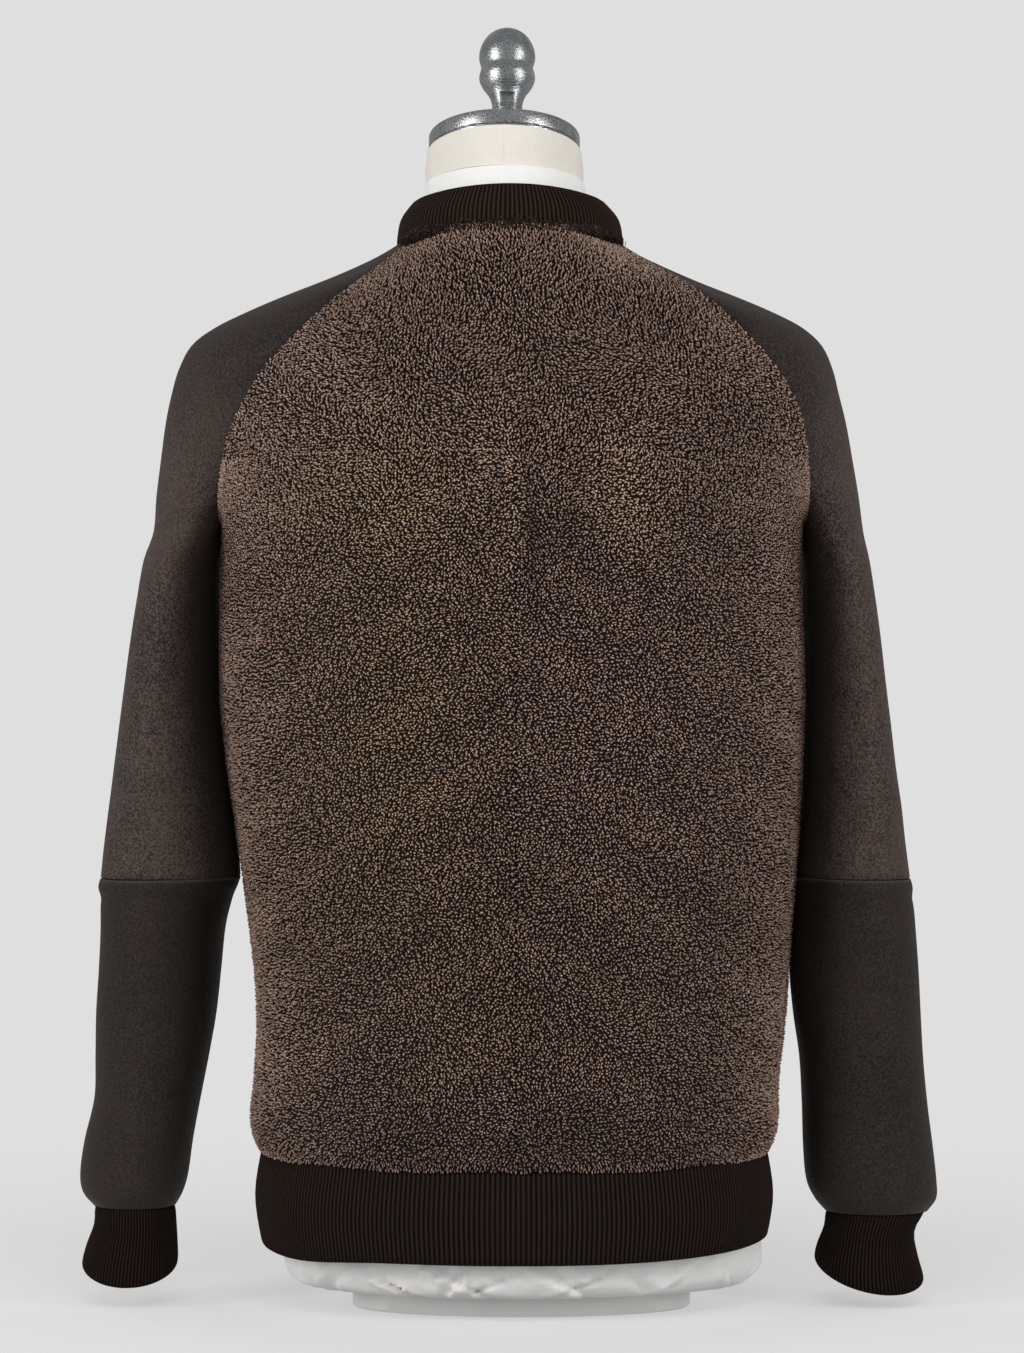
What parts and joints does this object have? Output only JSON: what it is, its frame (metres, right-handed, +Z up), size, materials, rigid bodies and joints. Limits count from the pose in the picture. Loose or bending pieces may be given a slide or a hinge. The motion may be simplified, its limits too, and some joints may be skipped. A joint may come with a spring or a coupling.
{
  "type": "shearling bomber jacket on a limbless dress form",
  "caption": "Raglan bomber jacket with curly shearling body, leather sleeves and rib-knit trims, worn by a limbless dress form.",
  "frame": {"origin": "middle of the bounding box, on the floor that the dress form's base stands on", "axes": "+Z up, +Y toward the garment's front, +X toward the wearer's right"},
  "size_m": [0.5986, 0.2676, 0.8979],
  "materials": {
    "shearling": "curly brown shearling pile",
    "leather": "dark brown suede nappa, matt",
    "rib_knit": "dark brown rib knit",
    "zip_tape": "dark woven tape",
    "zip_metal": "dark antique metal",
    "cap_metal": "cast and burnished, mottled",
    "cream_cloth": "cream linen over the form",
    "white_cloth": "smooth white cotton cover",
    "base_paint": "pale grey satin"
  },
  "bodies": {
    "jacket_and_form": {"back_yoke": "shearling", "back_left": "shearling", "back_right": "shearling", "front_left": "shearling", "front_right": "shearling", "sleeve_left_upper": "leather", "sleeve_left_lower": "leather", "sleeve_right_upper": "leather", "sleeve_right_lower": "leather", "cuff_left": "rib_knit", "cuff_right": "rib_knit", "collar": "rib_knit", "hem_band": "rib_knit", "zip_tape_left": "zip_tape", "zip_tape_right": "zip_tape", "zip_slider": "zip_metal", "form_body": "white_cloth", "form_neck": "cream_cloth", "form_neck_cap": "cap_metal", "form_finial": "cap_metal", "form_base": "base_paint"},
    "pull_tab": {"zip_pull_tab": "zip_metal"}
  },
  "joints": [
    {"name": "pull_tab_hinge", "type": "hinge", "parent": "jacket_and_form", "child": "pull_tab", "pos_m": [0.0025, 0.1052, 0.66353], "axis": [1, 0, 0], "range_deg": [0, 150]}
  ]
}
